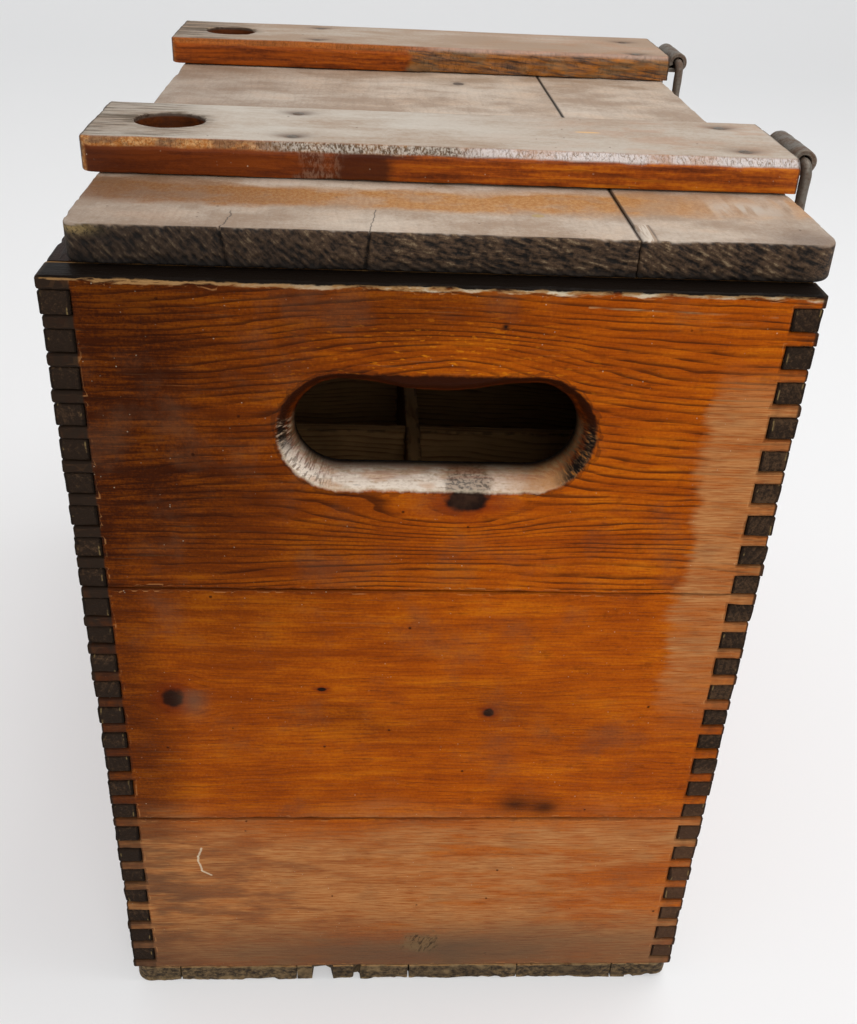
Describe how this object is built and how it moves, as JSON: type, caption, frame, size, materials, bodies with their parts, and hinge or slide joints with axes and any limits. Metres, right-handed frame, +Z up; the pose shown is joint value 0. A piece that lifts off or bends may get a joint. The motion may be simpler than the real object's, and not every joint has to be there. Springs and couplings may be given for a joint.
{
  "type": "soda siphon crate",
  "caption": "Upright box-jointed pine crate with hand slots, upright pockets for siphons and a battened lid on barrel and wire hinges.",
  "frame": {"origin": "on the floor, in the middle of the crate's underside", "axes": "+X across the crate towards the hinged side, -Y out of the front end panel, +Z up"},
  "size_m": [0.2624, 0.4, 0.3573],
  "materials": {
    "end_pine": "old honey-brown varnish, worn at the edges",
    "side_pine": "old honey-brown varnish, dark end grain",
    "bottom_pine": "bare, dirty and splintered",
    "partition_pine": "bare, dusty",
    "lid_pine": "weathered grey-brown, black end grain",
    "batten_pine": "grey top, varnished sides",
    "hinge_iron": "old wrought iron with brown rust",
    "nail_iron": "rusty nail iron"
  },
  "bodies": {
    "crate": {"back_bottom_nail_1": "nail_iron", "back_bottom_nail_2": "nail_iron", "back_bottom_nail_3": "nail_iron", "back_bottom_nail_4": "nail_iron", "back_bottom_nail_5": "nail_iron", "back_bottom_nail_6": "nail_iron", "back_end_bottom_board": "end_pine", "back_end_middle_board": "end_pine", "back_end_top_board": "end_pine", "front_bottom_nail_1": "nail_iron", "front_bottom_nail_2": "nail_iron", "front_bottom_nail_3": "nail_iron", "front_bottom_nail_4": "nail_iron", "front_bottom_nail_5": "nail_iron", "front_bottom_nail_6": "nail_iron", "front_cross_divider": "partition_pine", "front_end_bottom_board": "end_pine", "front_end_middle_board": "end_pine", "front_end_top_board": "end_pine", "front_wire_loop": "hinge_iron", "left_bottom_board": "bottom_pine", "left_side_bottom_board": "side_pine", "left_side_middle_board": "side_pine", "left_side_top_board": "side_pine", "long_divider": "partition_pine", "middle_bottom_board": "bottom_pine", "rear_cross_divider": "partition_pine", "rear_wire_loop": "hinge_iron", "right_bottom_board": "bottom_pine", "right_side_bottom_board": "side_pine", "right_side_middle_board": "side_pine", "right_side_top_board": "side_pine"},
    "lid": {"front_batten": "batten_pine", "front_batten_nail_1": "nail_iron", "front_batten_nail_2": "nail_iron", "front_batten_nail_3": "nail_iron", "front_batten_nail_4": "nail_iron", "front_hinge_strap": "hinge_iron", "front_strap_pin_1": "nail_iron", "front_strap_pin_2": "nail_iron", "lid_narrow_board": "lid_pine", "lid_wide_board": "lid_pine", "rear_batten": "batten_pine", "rear_batten_nail_1": "nail_iron", "rear_batten_nail_2": "nail_iron", "rear_batten_nail_3": "nail_iron", "rear_batten_nail_4": "nail_iron", "rear_hinge_strap": "hinge_iron", "rear_strap_pin_1": "nail_iron", "rear_strap_pin_2": "nail_iron"}
  },
  "joints": [
    {"name": "lid_hinge", "type": "hinge", "parent": "crate", "child": "lid", "pos_m": [0.1363, 0, 0.35266], "axis": [0, 1, 0], "range_deg": [0, 210]}
  ]
}
